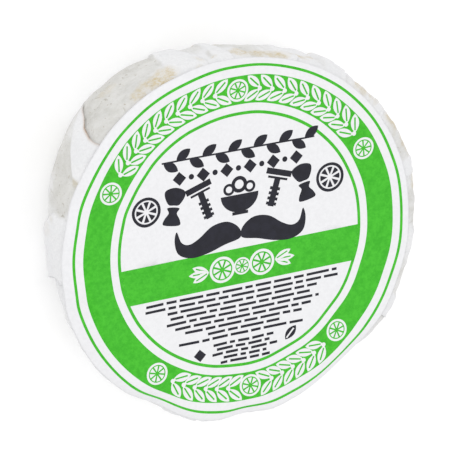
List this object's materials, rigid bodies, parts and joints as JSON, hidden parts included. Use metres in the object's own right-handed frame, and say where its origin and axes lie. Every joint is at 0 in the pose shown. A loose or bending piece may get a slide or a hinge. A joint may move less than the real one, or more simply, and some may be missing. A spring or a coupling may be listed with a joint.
{
  "type": "wrapped shaving soap puck",
  "caption": "Round bar of hard shaving soap folded in pleated tissue, with a round paper label closing the gathered pleats on its front.",
  "frame": {"origin": "centre of the underside, at the tissue's outer face, with the puck lying on its back", "axes": "+Z out of the label, the puck's axis; +Y towards the label's top; +X towards the label's right"},
  "size_m": [0.069, 0.069, 0.02],
  "materials": {
    "soap": null,
    "tissue": "thin crumpled white tissue, translucent where it clings to the soap",
    "label": "smooth white paper printed in lime green and dark slate"
  },
  "bodies": {
    "root": {"soap_puck": "soap", "tissue_wrap": "tissue", "front_label": "label"}
  },
  "joints": []
}
